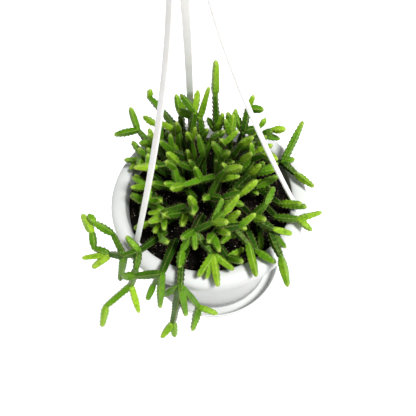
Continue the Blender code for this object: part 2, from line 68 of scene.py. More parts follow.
POT_INSIDE = ((5, -158), (5, -155.5), (62, -155.5), (65, -153), (83.2, -19), (84, -15))
TURN_STEPS = 144
STRAP_ANGLES, STRAP_FOOT = (-19, 97, 215), (88.6 * MM, 5 * MM)
SLOT = (2.8, 6.9, 9)
DRAIN_HOLES, DRAIN_RADIUS, DRAIN_CIRCLE, DRAIN_DEPTH = 6, 4.5, 42, 12


class Wire:
    """A socket of a shader or geometry tree, so that a formula on it adds its Math nodes."""

    def __init__(self, tree, socket):
        self.tree, self.socket = tree, socket

    def maths(self, operation, *others):
        ports = dict(enumerate((self, *others)))
        return add_node(self.tree, "ShaderNodeMath", {"operation": operation}, ports)[0]

    def __add__(self, other):
        return self.maths("ADD", other)

    def __sub__(self, other):
        return self.maths("SUBTRACT", other)

    def __rsub__(self, other):
        return (self * -1).maths("ADD", other)

    def __mul__(self, other):
        return self.maths("MULTIPLY", other)

    def __truediv__(self, other):
        return self.maths("DIVIDE", other)

    def __pow__(self, other):
        return self.maths("POWER", other)

    __radd__, __rmul__ = __add__, __mul__

    def between(self, low, high):
        """0 below low, 1 above high and a smooth step from one to the other."""
        return add_node(self.tree, "ShaderNodeMapRange", {"interpolation_type": "SMOOTHSTEP"},
                        {"Value": self, "From Min": low, "From Max": high})["Result"]


class Outputs:
    """A node's outputs by name or number, each as a wire."""

    def __init__(self, tree, node):
        self.tree, self.node = tree, node

    def __getitem__(self, key):
        return Wire(self.tree, self.node.outputs[key])


def plug(port, value):
    """Links a wire, or each of a list of wires, into an input, or sets the input's own value."""
    for item in value if isinstance(value, list) else [value]:
        if isinstance(item, Wire):
            item.tree.links.new(item.socket, port)
        elif port.type == "RGBA":
            port.default_value = (*item[:3], 1)
        else:
            port.default_value = item


def add_node(tree, kind, settings, ports):
    """Adds any node: its settings first, then its inputs. Its outputs come back as wires."""
    node = tree.nodes.new(kind)
    stops = settings.pop("stops", ())
    for key, value in settings.items():
        setattr(node, key, value)
    for number, (place, colour) in enumerate(stops):
        ramp = node.color_ramp.elements
        stop = ramp[number] if number < len(ramp) else ramp.new(place)
        stop.position, stop.color = place, (*colour, 1)
    for key, value in ports.items():
        plug(node.inputs[key], value)
    return Outputs(tree, node)


def blend(factor, first, second):
    """Two colours mixed by a wire."""
    return add_node(factor.tree, "ShaderNodeMix", {"data_type": "RGBA"}, {0: factor, 6: first, 7: second})[2]


def finish(name, fixed):
    """A material with these fixed values on its shader, its tree, its shader and the place on the piece."""
    made = bpy.data.materials.new(name)
    made.use_nodes = True
    tree = made.node_tree
    shader = tree.nodes["Principled BSDF"]
    for key, value in fixed.items():
        plug(shader.inputs[key], value)
    return made, tree, shader, add_node(tree, "ShaderNodeTexCoord", {}, {})["Object"]


def feed(shader, **wires):
    """Links wires into the shader's inputs of the same names."""
    for key, wire in wires.items():
        plug(shader.inputs[key.replace("_", " ")], wire)


def noise(place, size, detail=4.0, rough=0.55):
    """Noise whose lumps are about size metres across."""
    ports = {"Vector": place, "Scale": 1 / size, "Detail": detail, "Roughness": rough}
    return add_node(place.tree, "ShaderNodeTexNoise", {}, ports)["Fac"]


def bump(height, distance, strength):
    return add_node(height.tree, "ShaderNodeBump", {}, {"Height": height, "Distance": distance,
                                                        "Strength": strength})[0]


def show(name, mesh):
    """An object in the scene that carries this mesh."""
    piece = bpy.data.objects.new(name, mesh)
    bpy.context.scene.collection.objects.link(piece)
    return piece


def drawn(name, draw):
    """A mesh that draw makes in a bmesh."""
    build = bmesh.new()
    draw(build)
    mesh = bpy.data.meshes.new(name)
    build.to_mesh(mesh)
    build.free()
    return mesh


def plain(piece):
    """Bakes a piece's modifiers and its place into its mesh."""
    graph = bpy.context.evaluated_depsgraph_get()
    mesh = bpy.data.meshes.new_from_object(piece.evaluated_get(graph))
    mesh.transform(piece.matrix_basis)
    piece.modifiers.clear()
    piece.matrix_basis = Matrix.Identity(4)
    piece.data = mesh
    return piece


def turned(name, profile, steps):
    """A piece turned from a profile of (radius, height) in millimetres that runs down its outside."""
    def line(build):
        verts = [build.verts.new((r * MM, 0, z * MM - HANG)) for r, z in profile]
        for a, b in zip(verts, verts[1:]):
            build.edges.new((a, b))
        if profile[0][0] > 0:
            build.edges.new((verts[-1], verts[0]))

    piece = show(name, drawn(name, line))
    screw = piece.modifiers.new("Turn", "SCREW")
    screw.steps = screw.render_steps = steps
    screw.use_merge_vertices = True
    screw.merge_threshold = 0.01 * MM
    return plain(piece)


def block(name, size, centre, degrees=0.0):
    """A box of this size in millimetres, whose centre is turned about the pot's axis."""
    def cube(build):
        bmesh.ops.create_cube(build, size=1)
        bmesh.ops.scale(build, vec=[s * MM for s in size], verts=build.verts)

    mesh = drawn(name, cube)
    spin = Matrix.Rotation(math.radians(degrees), 4, "Z")
    mesh.transform(spin @ Matrix.Translation([c * MM for c in centre]))
    mesh.transform(Matrix.Translation((0, 0, -HANG)))
    return show(name, mesh)


def drain_drill(number):
    """The upright rod that drills one of the drain holes in the pot's floor."""
    turn = math.tau * number / DRAIN_HOLES

    def rod(build):
        bmesh.ops.create_cone(build, cap_ends=True, segments=32, radius1=DRAIN_RADIUS * MM,
                              radius2=DRAIN_RADIUS * MM, depth=DRAIN_DEPTH * MM)
        centre = (DRAIN_CIRCLE * MM * math.cos(turn), DRAIN_CIRCLE * MM * math.sin(turn), -158 * MM - HANG)
        bmesh.ops.translate(build, verts=build.verts, vec=centre)

    return show("drain", drawn("drain", rod))


def cut_or_join(piece, others, operation):
    """Cuts the other solids from a piece, or joins them to it, and removes them."""
    group = bpy.data.collections.new("with_" + piece.name)
    bpy.context.scene.collection.children.link(group)
    for other in others:
        bpy.context.scene.collection.objects.unlink(other)
        group.objects.link(other)
    boolean = piece.modifiers.new("Cut", "BOOLEAN")
    boolean.operation, boolean.operand_type, boolean.collection = operation, "COLLECTION", group
    plain(piece)
    for other in list(group.objects):
        bpy.data.objects.remove(other, do_unlink=True)
    bpy.data.collections.remove(group)


def dress(piece, paint, node):
    """Gives a finished piece its material and soft shading, and ties it to the frame."""
    piece.data.materials.clear()
    piece.data.materials.append(paint)
    piece.data.shade_smooth()
    piece.data.set_sharp_from_angle(angle=math.radians(40))
    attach(piece, "root")
    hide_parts(node)


# White plastic, clouded by dust, with faint moulding lines on the wall below the rim
pot_white, tree, shader, place = finish("pot_white", {"Specular IOR Level": 0.45, "Subsurface Weight": 0.05,
                                                      "Subsurface Scale": 0.002})
parts = add_node(tree, "ShaderNodeSeparateXYZ", {}, {"Vector": place})
out = (parts["X"] ** 2 + parts["Y"] ** 2).maths("SQRT")
down = (parts["Z"] + HANG) * -1
cloud, grit = noise(place, 0.03), noise(place, 0.0022, 6.0)
bands = add_node(tree, "ShaderNodeCombineXYZ", {}, {"X": out * 160, "Y": 0.0, "Z": parts["Z"] * 260})[0]
streak = add_node(tree, "ShaderNodeTexNoise", {}, {"Vector": bands, "Scale": 1.0, "Detail": 3.0})["Fac"]
dust = (cloud * 0.6 + grit * 0.4).between(0.5, 0.75)
low = down.between(0.012, 0.05)
white = blend(dust * 0.30, (0.56, 0.57, 0.56), (0.45, 0.43, 0.38))
white = blend(low * streak.between(0.42, 0.7) * 0.2, white, (0.38, 0.37, 0.36))
feed(shader, Base_Color=white, Roughness=0.38 + grit * 0.2,
     Normal=bump(streak * low + grit * 0.3, 0.0004, 0.35))

pot = turned("pot_shell", POT_OUTSIDE + POT_INSIDE, TURN_STEPS)
slots = [block("slot", SLOT, (STRAP_FOOT[0] / MM, 0, 0), degrees) for degrees in STRAP_ANGLES]
cut_or_join(pot, slots + [drain_drill(number) for number in range(DRAIN_HOLES)], "DIFFERENCE")
dress(pot, pot_white, "pot")

# The saucer. It is a thin moulded dish of the same white plastic as the pot, with an upturned lip. A peg in
# its middle snaps up through the hole in the pot's floor and holds it there.
SAUCER = ((0, -150), (5.2, -150.2), (5.9, -151), (6.4, -154.6), (4.4, -155), (4.4, -158.4), (70, -158.4),
          (75.6, -158.2), (77.5, -157), (79.6, -145.2), (80.3, -143.6), (81.3, -143), (82.3, -143.2),
          (82.6, -144), (79.4, -157.6), (78, -159.6), (75, -160.6), (0, -160.6))
saucer = turned("saucer_dish", SAUCER, TURN_STEPS)
dress(saucer, pot_white, "saucer")

# The soil. It is dark peat and composted bark, damp and crumbly, with bark chips and pale grains lying on
# it. It fills the pot to just below the rim, and the stems stand in it.
SOIL_LEVEL, SOIL_SWELL, SOIL_RADIUS = -14 * MM, 1.2 * MM, 82.4
SOIL_UNDER = [(82.4, -20), (64, -152), (0, -152)]
SOIL_RINGS, SOIL_STEPS = 56, 150
# The crumbs flatten out over one part in SOIL_EDGE of the radius, so the edge stays in the pot
SOIL_EDGE = 30
CRUMB_HEIGHT, CHIPS_PER_M2, GRAINS_PER_M2 = 1.5 * MM, 42000.0, 9000.0
# A chip or grain is a small ball of this radius, stretched by between these amounts
BIT_RADIUS = 0.5 * MM
CHIP_SIZES, GRAIN_SIZES = ((1.2, 0.7, 0.35), (6.0, 2.2, 1.2)), ((0.7, 0.6, 0.5), (1.9, 1.5, 1.2))

earth, tree, shader, place = finish("potting_soil", {"Specular IOR Level": 0.08})
crumb, clod = noise(place, 0.0025, 6.0, 0.65), noise(place, 0.011)
cells = add_node(tree, "ShaderNodeTexVoronoi", {}, {"Vector": place, "Scale": 330.0})
dark = blend(crumb.between(0.4, 0.75), (0.0008, 0.0006, 0.0004), (0.007, 0.005, 0.003))
dark = blend(clod.between(0.55, 0.8) * 0.3, dark, (0.020, 0.013, 0.007))
feed(shader, Base_Color=dark, Roughness=0.75 + crumb * 0.2,
     Normal=bump(crumb + cells["Distance"] * 0.6, 0.0016, 0.9))


def crumb_finish(name, first, second):
    """The finish of bits that lie on the soil, mottled between two colours."""
    made, _, shader, place = finish(name, {"Specular IOR Level": 0.25})
    tint, grain = noise(place, 0.005), noise(place, 0.0009)
    feed(shader, Base_Color=blend((tint * 0.7 + grain * 0.3).between(0.35, 0.65), first, second),
         Roughness=0.65 + grain * 0.3, Normal=bump(grain, 0.0004, 0.6))
    return made


bark_chips = crumb_finish("bark_chips", (0.002, 0.0015, 0.001), (0.050, 0.028, 0.012))
pale_grains = crumb_finish("pale_grains", (0.25, 0.21, 0.14), (0.62, 0.57, 0.45))


def soil_height(x, y):
    """The soil's top above the rim's level: a low swell, a little higher in the middle."""
    swell = math.sin(x / (19 * MM)) * math.cos(y / (23 * MM)) + 0.6 * math.sin((x + y) / (11 * MM))
    return SOIL_LEVEL + SOIL_SWELL * swell


def growing_tree(name, sizes):
    """A Geometry Nodes tree with an input for each named size, and what comes in through them."""
    tree = bpy.data.node_groups.new(name, "GeometryNodeTree")
    face = tree.interface
    face.new_socket("Geometry", in_out="INPUT", socket_type="NodeSocketGeometry")
    for label, value in sizes:
        kind = "NodeSocketInt" if isinstance(value, int) else "NodeSocketFloat"
        face.new_socket(label, in_out="INPUT", socket_type=kind).default_value = value
    face.new_socket("Geometry", in_out="OUTPUT", socket_type="NodeSocketGeometry")
    return tree, add_node(tree, "NodeGroupInput", {}, {})


def close_tree(tree, pieces):
    """Joins the finished pieces of a tree and sends them out."""
    joined = add_node(tree, "GeometryNodeJoinGeometry", {}, {"Geometry": pieces})["Geometry"]
    add_node(tree, "NodeGroupOutput", {}, {"Geometry": joined})
    return tree


def shape_step(kind, geometry, settings=None, **ports):
    """One node that works on a geometry, and the geometry that leaves it."""
    ports = {key.replace("_", " "): value for key, value in ports.items()}
    return add_node(geometry.tree, kind, settings or {}, {0: geometry, **ports})[0]


def named(tree, name, kind="FLOAT"):
    return add_node(tree, "GeometryNodeInputNamedAttribute", {"data_type": kind}, {"Name": name})["Attribute"]


def dice(tree, low, high, seed):
    """A random vector for each point, between low and high."""
    return add_node(tree, "FunctionNodeRandomValue", {"data_type": "FLOAT_VECTOR"},
                    {"Min": low, "Max": high, "Seed": seed})[0]


def grown_piece(name, mesh, tree):
    """Runs a tree on a guide mesh, and keeps the result as a plain mesh."""
    guide = show(name, mesh)
    modifier = guide.modifiers.new("Growth", "NODES")
    modifier.node_group = tree
    for item in tree.interface.items_tree:
        if item.in_out == "INPUT" and item.socket_type != "NodeSocketGeometry":
            modifier[item.identifier] = item.default_value
    graph = bpy.context.evaluated_depsgraph_get()
    made = bpy.data.meshes.new_from_object(guide.evaluated_get(graph))
    guide.modifiers.remove(modifier)
    guide.data = made
    made.name = name
    return guide


def soil_tree():
    """Crumbles the soil's top, and scatters bark chips and pale grains over it."""
    sizes = ("Crumb height", CRUMB_HEIGHT), ("Chips per m2", CHIPS_PER_M2), ("Grains per m2", GRAINS_PER_M2)
    tree, given = growing_tree("crumbly_soil", sizes)
    top = named(tree, "top")
    spot = add_node(tree, "GeometryNodeInputPosition", {}, {})[0]
    lumps = noise(spot, 0.006, 5.0, 0.6) - 0.5
    lift = add_node(tree, "ShaderNodeCombineXYZ", {}, {"Z": lumps * given["Crumb height"] * top * 2})[0]
    body = shape_step("GeometryNodeSetPosition", given["Geometry"], Offset=lift)
    body = shape_step("GeometryNodeSetShadeSmooth", body, Shade_Smooth=True)
    body = shape_step("GeometryNodeSetMaterial", body, Material=earth)
    pieces = [body]
    bit = add_node(tree, "GeometryNodeMeshIcoSphere", {}, {"Radius": BIT_RADIUS, "Subdivisions": 1})[0]
    for seed, label, paint, (low, high) in ((3, "Chips per m2", bark_chips, CHIP_SIZES),
                                            (8, "Grains per m2", pale_grains, GRAIN_SIZES)):
        spots = shape_step("GeometryNodeDistributePointsOnFaces", body, Density=given[label], Seed=seed,
                           Selection=top.maths("GREATER_THAN", 0.5))
        turn = dice(tree, (-0.5, -0.5, 0.0), (0.5, 0.5, math.tau), seed + 1)
        bits = shape_step("GeometryNodeInstanceOnPoints", spots, Instance=bit, Rotation=turn,
                          Scale=dice(tree, low, high, seed + 2))
        bits = shape_step("GeometryNodeRealizeInstances", bits)
        pieces.append(shape_step("GeometryNodeSetMaterial", bits, Material=paint))
    return close_tree(tree, pieces)


def soil_guide():
    """The soil's body, with its top swelled and marked for the tree."""
    rings = [(SOIL_RADIUS * i / SOIL_RINGS, SOIL_LEVEL / MM) for i in range(SOIL_RINGS + 1)]
    body = turned("soil_body", rings + SOIL_UNDER, SOIL_STEPS)
    top = []
    for vertex in body.data.vertices:
        level = abs(vertex.co.z + HANG - SOIL_LEVEL) < 0.1 * MM
        edge = math.hypot(vertex.co.x, vertex.co.y) / (SOIL_RADIUS * MM)
        top.append(min(1.0, (1 - edge) * SOIL_EDGE) if level else 0.0)
        if level:
            vertex.co.z = soil_height(vertex.co.x, vertex.co.y) - HANG
    body.data.attributes.new("top", "FLOAT", "POINT").data.foreach_set("value", top)
    mesh = body.data
    bpy.data.objects.remove(body, do_unlink=True)
    return mesh


soil = grown_piece("soil_fill", soil_guide(), soil_tree())
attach(soil, "root")
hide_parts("soil")

# The straps. They are three flat strips of white polypropylene, each with a lug that clips under the rim and
# another that bears on the hook's crown. They bow outwards as they come down.
STRAP_WIDTH, STRAP_THICKNESS, STRAP_EDGE = 6.0 * MM, 1.8 * MM, 0.55 * MM
STRAP_BEND, STRAP_TOP = (4 * MM, 206 * MM), (7 * MM, 288 * MM)
STRAP_BENDS = 48
LUG, FOOT_LUG_TOP = (2.8, 9.8, 2.4), -4.4
CROWN_TOP, LUG_PLAY = 295, 0.4
FOOT_LUG_AT, HEAD_LUG_AT = FOOT_LUG_TOP - LUG[2] / 2, CROWN_TOP + LUG_PLAY + LUG[2] / 2

strap_white, tree, shader, place = finish("strap_white", {
    "Specular IOR Level": 0.5, "Subsurface Weight": 0.08, "Subsurface Scale": 0.002})
haze, scuff = noise(place, 0.02), noise(place, 0.0015)
feed(shader, Base_Color=blend(haze.between(0.4, 0.7) * 0.5, (0.82, 0.82, 0.80), (0.72, 0.69, 0.63)),
     Roughness=0.3 + scuff * 0.25, Normal=bump(scuff, 0.0002, 0.3))


def strap_point(share):
    """(radius, height) on a strap's middle line, from just over the rim at 0 to the crown at 1."""
    rest = 1 - share
    return tuple(rest * rest * STRAP_FOOT[i] + 2 * share * rest * STRAP_BEND[i] + share * share * STRAP_TOP[i]
                 for i in (0, 1))


def strap_strip(build):
    """A strap's middle surface, from its foot lug to its head lug."""
    path = [(STRAP_FOOT[0], FOOT_LUG_AT * MM), (STRAP_FOOT[0], 0.0)]
    path += [strap_point(i / STRAP_BENDS) for i in range(STRAP_BENDS + 1)]
    path += [(STRAP_TOP[0], HEAD_LUG_AT * MM)]
    line = [build.verts.new((r, -STRAP_WIDTH / 2, z - HANG)) for r, z in path]
    edges = [build.edges.new(pair) for pair in zip(line, line[1:])]
    wide = bmesh.ops.extrude_edge_only(build, edges=edges)["geom"]
    far = [item for item in wide if isinstance(item, bmesh.types.BMVert)]
    bmesh.ops.translate(build, verts=far, vec=(0, STRAP_WIDTH, 0))


for number, degrees in enumerate(STRAP_ANGLES, 1):
    strap = show(f"strap_{number}", drawn("strap", strap_strip))
    thick = strap.modifiers.new("Thickness", "SOLIDIFY")
    thick.thickness, thick.offset = STRAP_THICKNESS, 0
    plain(strap)
    cut_or_join(strap, [block("foot_lug", LUG, (STRAP_FOOT[0] / MM, 0, FOOT_LUG_AT)),
                        block("head_lug", LUG, (STRAP_TOP[0] / MM, 0, HEAD_LUG_AT))], "UNION")
    rounded = strap.modifiers.new("Edges", "BEVEL")
    rounded.width, rounded.segments, rounded.limit_method = STRAP_EDGE, 2, "ANGLE"
    rounded.angle_limit = math.radians(50)
    strap.matrix_basis = Matrix.Rotation(math.radians(degrees), 4, "Z")
    plain(strap)
    dress(strap, strap_white, f"hanger_strap_{number}")

# The hook. It is moulded in one piece from the same plastic: a round crown with a slot for each strap, and a
# rod bent into an open hook that hangs from a rail or a ceiling hook.
CROWN = ((0, 295), (9.5, 295), (12.2, 294.7), (13, 293.8), (13, 292.2), (12.2, 291.3), (9.5, 291), (0, 291))
CROWN_MIDDLE, CROWN_STEPS = 293, 64
HOOK_ROD, HOOK_BEND, HOOK_TURN = 2.8, 13, range(-40, 216, 9)
# The rod's neck, as (sideways, height under the bend's middle)
HOOK_NECK = ((0, -20), (0, -17), (1.2, -15.4), (4, -13.5))


def hook_rod():
    """The round rod, from inside the crown up its neck and round its bend."""
    bend = HANG / MM - HOOK_BEND + HOOK_ROD
    points = [(0, CROWN_MIDDLE - 0.5)] + [(x, bend + z) for x, z in HOOK_NECK]
    points += [(HOOK_BEND * math.cos(math.radians(a)), bend + HOOK_BEND * math.sin(math.radians(a)))
               for a in HOOK_TURN]
    curve = bpy.data.curves.new("rod", "CURVE")
    curve.dimensions, curve.bevel_depth, curve.bevel_resolution = "3D", HOOK_ROD * MM, 5
    curve.use_fill_caps = True
    spline = curve.splines.new("POLY")
    spline.points.add(len(points) - 1)
    for point, (x, z) in zip(spline.points, points):
        point.co = (x * MM, 0, z * MM - HANG, 1)
    line = show("rod", curve)
    round_mesh = bpy.data.meshes.new_from_object(line.evaluated_get(bpy.context.evaluated_depsgraph_get()))
    bpy.data.objects.remove(line, do_unlink=True)

    def closed(build):
        build.from_mesh(round_mesh)
        bmesh.ops.remove_doubles(build, verts=build.verts, dist=0.01 * MM)
        bmesh.ops.recalc_face_normals(build, faces=build.faces)

    return show("rod", drawn("rod", closed))


hook = turned("hook_crown", CROWN, CROWN_STEPS)
cut_or_join(hook, [block("slot", SLOT, (STRAP_TOP[0] / MM, 0, CROWN_MIDDLE), degrees)
                   for degrees in STRAP_ANGLES], "DIFFERENCE")
cut_or_join(hook, [hook_rod()], "UNION")
dress(hook, strap_white, "hanger_hook")

# The stems. They are fleshy jointed shoots with four or five ribs, each rib notched and set with small woolly
# areoles. Each shoot grows from its root in the soil, and branches from joint to joint. Its places come from
# the same table and rule of growth as the solids'.
GAP = 0.4 * MM
RIM_RADIUS, RIM_INNER = 100 * MM, 84.5 * MM
ROOT_DEPTH, COLLAR, ROOT_RADIUS = 12 * MM, 4 * MM, 2.5 * MM
STRAP_STEPS = 16

# The clump is described as it is seen from the front and above: a joint is named by the place
# where it shows in a square view, in pixels, and by its height above the rim in millimetres.
VIEW_SIDE = 416
VIEW_FOCAL = 473
VIEW_DISTANCE = 480 * MM
VIEW_ELEVATION = math.radians(59.3)
VIEW_ROLL = math.radians(-6.1)
VIEW_RIM_AT = (207.8, 193.0)

# Shoots that give the clump its outline. Each has its root on the soil as (across, down), then its
# segments as (joint that it grows from, across, down, height), where joint 0 is the root.
SHOOTS = {
    "tall_back": ((218, 165), [(0, 217, 131, 38), (1, 215, 95, 72), (2, 216, 60, 104), (1, 223, 113, 58)]),
    "back_pair": ((206, 163), [(0, 202, 137, 38), (1, 200, 118, 56), (2, 209, 87, 84), (2, 177, 110, 66)]),
    "back_fork": ((196, 168), [(0, 191, 140, 36), (1, 195, 112, 68), (2, 180, 94, 80), (2, 198, 90, 86)]),
    "back_left": ((186, 160), [(0, 182, 135, 30), (1, 181, 115, 44), (2, 176, 94, 60), (2, 187, 99, 58)]),
    "left_reach": ((184, 176), [(0, 180, 150, 18), (1, 178, 130, 34), (2, 163, 111, 46), (3, 149, 97, 50),
                                (4, 151, 89, 58)]),
    "left_arm": ((176, 166), [(0, 172, 140, 14), (1, 156, 125, 28), (2, 143, 116, 34)]),
    "left_fork": ((172, 158), [(0, 152, 146, 12), (1, 138, 130, 22), (2, 130, 107, 36), (2, 114, 135, 22)]),
    "left_low": ((166, 176), [(0, 146, 160, 8), (1, 132, 141, 20), (1, 124, 160, 16), (1, 129, 169, 8)]),
    "left_bright": ((178, 190), [(0, 163, 186, 18), (1, 147, 188, 20)]),
    "left_dark": ((184, 207), [(0, 165, 211, 6), (1, 145, 202, 8), (2, 130, 195, 8)]),
    "left_front": ((176, 218), [(0, 161, 225, 8), (1, 148, 223, 8), (2, 134, 229, 10)]),
    "trail_left": ((166, 234), [(0, 139, 251, 8), (1, 124, 256, 2), (2, 110, 254, -4), (3, 94, 248, 0),
                                (3, 82, 258, -8), (3, 92, 268, -14), (2, 113, 234, 10), (7, 95, 223, 14),
                                (8, 88, 214, 16), (4, 92, 232, 8), (10, 82, 214, 14), (2, 120, 281, -26),
                                (1, 126, 236, 20), (1, 136, 269, -6), (14, 131, 285, -22),
                                (15, 106, 306, -38), (16, 102, 327, -54), (15, 139, 313, -44)]),
    "trail_side": ((176, 242), [(0, 162, 273, 8), (1, 135, 276, 2), (2, 122, 276, 0), (1, 154, 284, -4),
                                (4, 147, 300, -18), (1, 160, 308, -20)]),
    "trail_front": ((188, 244), [(0, 181, 265, 8), (1, 180, 286, -6), (2, 160, 296, -10), (2, 173, 322, -42),
                                 (4, 161, 338, -54), (4, 175, 337, -58), (2, 199, 307, -26),
                                 (7, 192, 331, -46), (7, 218, 314, -28), (2, 186, 316, -28)]),
    "front_star": ((203, 218), [(0, 194, 231, 30), (1, 213, 254, 16), (2, 234, 270, 10), (2, 198, 277, 10),
                                (2, 206, 279, 7), (2, 218, 287, 8), (1, 182, 250, 18), (7, 179, 268, 14),
                                (1, 213, 222, 42), (9, 224, 213, 50), (10, 233, 205, 56)]),
    "front_low": ((216, 244), [(0, 228, 258, -3), (1, 244, 248, -2), (1, 243, 264, 7)]),
    "front_long": ((220, 210), [(0, 228, 221, 26), (1, 248, 244, 17), (2, 252, 277, 9)]),
    "front_right": ((238, 220), [(0, 246, 228, 4), (1, 257, 251, 2), (2, 276, 263, 8)]),
    "front_stub": ((259, 226), [(0, 260, 234, 0), (1, 261, 250, -2)]),
    "right_drop": ((256, 214), [(0, 270, 231, 20), (1, 281, 257, 13), (2, 288, 287, 0), (1, 286, 248, 8)]),
    "right_sweep": ((238, 206), [(0, 253, 217, 30), (1, 274, 229, 26), (2, 292, 234, 18)]),
    "right_fork": ((264, 206), [(0, 276, 217, 8), (1, 298, 219, 9), (2, 322, 212, 14), (2, 312, 231, 6)]),
    "right_pair": ((258, 192), [(0, 281, 204, 14), (1, 304, 197, 18), (1, 307, 207, 12)]),
    "right_reach": ((264, 164), [(0, 283, 162, 6), (1, 303, 121, 34), (1, 295, 159, 14), (1, 296, 174, 8),
                                 (4, 314, 187, 8)]),
    "back_right": ((244, 162), [(0, 252, 143, 26), (1, 262, 134, 36), (2, 273, 130, 40), (3, 286, 129, 44),
                                (2, 280, 139, 30)]),
    "back_steps": ((236, 158), [(0, 243, 132, 42), (1, 248, 108, 62), (2, 254, 95, 74), (2, 264, 110, 62),
                                (1, 260, 127, 44), (5, 266, 118, 50)]),
    "back_tip": ((229, 162), [(0, 230, 135, 42), (1, 236, 109, 66), (1, 228, 112, 66)]),
}

# Shoots that fill the clump, rooted on a spiral of this spacing and grown by the rule in fill_shoots
FILL_ROOTS = 40
FILL_MOST = 28
FILL_SPACING = 7.6 * MM
FILL_CENTRE = (2 * MM, 4 * MM)
ROOT_SPACING = 7.6 * MM
MAX_LEAN, LEAN_REACH = math.radians(74), 66 * MM
DOME_RADIUS = 96 * MM
FILL_OUTLINE = (206, 178, 76, 76)
FIRST_LENGTH, FIRST_SPREAD, FIRST_TRIES = 27 * MM, 0.35, 30
FILL_STAGES = ((25 * MM, 0.9, 2), (20 * MM, 0.9, 1))
SIDE_STAGES = ((21 * MM, 1.1, 2),)
LATE_ROUNDS = 3
LATE_LENGTH = 20 * MM
MOST_SEGMENTS = 344
BARE_SOIL = ((134, 205, 10), (232, 258, 13), (284, 203, 8))
SEED = 7

OLD_RADIUS = 4.4 * MM
YOUNG_RADIUS = 4.0 * MM


def view_axes():
    """The view's right, up and backward directions, and where its eye stands."""
    back = Vector((0, -math.cos(VIEW_ELEVATION), math.sin(VIEW_ELEVATION)))
    level = Vector((1, 0, 0))
    upright = back.cross(level)
    right = level * math.cos(VIEW_ROLL) + upright * math.sin(VIEW_ROLL)
    up = upright * math.cos(VIEW_ROLL) - level * math.sin(VIEW_ROLL)
    middle = VIEW_SIDE / 2
    scale = VIEW_DISTANCE / VIEW_FOCAL
    eye = back * VIEW_DISTANCE
    eye -= right * (VIEW_RIM_AT[0] - middle) * scale + up * (middle - VIEW_RIM_AT[1]) * scale
    return right, up, back, eye


def seen_at(across, down, height):
    """The point at this height above the rim that shows at this place in the view."""
    right, up, back, eye = view_axes()
    middle = VIEW_SIDE / 2
    ray = right * (across - middle) + up * (middle - down) - back * VIEW_FOCAL
    return eye + ray * ((height - eye.z) / ray.z)


def sight_line(point):
    return (point - view_axes()[3]).normalized()


def seen_where(point):
    """The place in the view, in pixels, where a point shows."""
    right, up, back, eye = view_axes()
    ray = point - eye
    depth = -ray.dot(back)
    middle = VIEW_SIDE / 2
    return middle + VIEW_FOCAL * ray.dot(right) / depth, middle - VIEW_FOCAL * ray.dot(up) / depth


def around(angle, radius, height):
    return Vector((radius * math.cos(angle), radius * math.sin(angle), height))


class Segment:
    """One joint-to-joint length of stem, from start to tip."""

    def __init__(self, shoot, start, tip, radius, parent, order):
        self.shoot, self.start, self.tip, self.radius = shoot, start, tip, radius
        self.parent, self.order = parent, order


def closest(a, b, c, d):
    """The distance between the stretches a-b and c-d."""
    u, v, w = b - a, d - c, a - c
    uu, uv, vv, uw, vw = u.dot(u), u.dot(v), v.dot(v), u.dot(w), v.dot(w)
    span = uu * vv - uv * uv
    s = min(1, max(0, (uv * vw - vv * uw) / span)) if span > 1e-14 else 0
    t = min(1, max(0, (uv * s + vw) / vv))
    s = min(1, max(0, (uv * t - uw) / uu))
    return (w + u * s - v * t).length


def clear_of_pot(start, tip, radius, from_root):
    """Whether a segment stays over the soil and clear of the rim."""
    steps = 8
    for i in range(1 if from_root else 0, steps + 1):
        share = i / steps
        p = start.lerp(tip, share)
        out = math.hypot(p.x, p.y)
        thick = radius * (0.6 if share < 0.1 else 1)
        if p.z - thick > GAP:
            continue
        if out + thick < RIM_INNER - GAP:
            if p.z - thick < soil_height(p.x, p.y) + GAP:
                return False
        elif out - thick < RIM_RADIUS + GAP:
            return False
    return True


def clear_of_straps(start, tip, radius):
    points = [(STRAP_FOOT[0], 0)] + [strap_point(i / STRAP_STEPS) for i in range(STRAP_STEPS + 1)]
    reach = radius + STRAP_WIDTH / 2 + GAP
    for angle in STRAP_ANGLES:
        line = [around(math.radians(angle), *p) for p in points]
        if any(closest(start, tip, a, b) < reach for a, b in zip(line, line[1:])):
            return False
    return True


def is_clear(segment, grown):
    """Whether a segment keeps off the pot, the straps and all that has grown, but for what it grows from."""
    from_root = segment.parent is None
    if not clear_of_pot(segment.start, segment.tip, segment.radius, from_root):
        return False
    if not clear_of_straps(segment.start, segment.tip, segment.radius):
        return False
    for other in grown:
        if other.shoot == segment.shoot:
            if other is segment.parent or other.parent is segment.parent or other.tip == segment.start:
                continue
        if closest(segment.start, segment.tip, other.start, other.tip) < segment.radius + other.radius + GAP:
            return False
    return True


def shifts():
    """Ways to bend a tip clear, nearest first: along the line of sight, then sideways."""
    found = [(0, 0, 0)]
    for along in range(-14, 15, 2):
        for across in range(-6, 7, 2):
            for up in range(-6, 7, 2):
                found.append((along, across, up))
    return sorted(found, key=lambda s: (abs(s[0]) + 3 * (abs(s[1]) + abs(s[2])), s))


def bent_clear(segment, grown):
    """Moves the segment's tip as little as it takes to clear its neighbours, or says that it can't."""
    wanted = segment.tip.copy()
    sight = sight_line(wanted)
    right, up = view_axes()[:2]
    for along, across, rise in SHIFTS:
        segment.tip = wanted + (sight * along + right * across + up * rise) * MM
        if is_clear(segment, grown):
            return True
    return False


SHIFTS = shifts()


def radius_of(order, draw):
    young = min(order, 3) / 3
    return (OLD_RADIUS + (YOUNG_RADIUS - OLD_RADIUS) * young) * draw.uniform(0.93, 1.05)


def root_segment(shoot, x, y):
    """The short upright length that stands in the soil, with its collar just above it."""
    top = soil_height(x, y) + COLLAR
    bottom = top - COLLAR - ROOT_DEPTH
    return Segment(shoot, Vector((x, y, bottom)), Vector((x, y, top)), ROOT_RADIUS, None, 0)


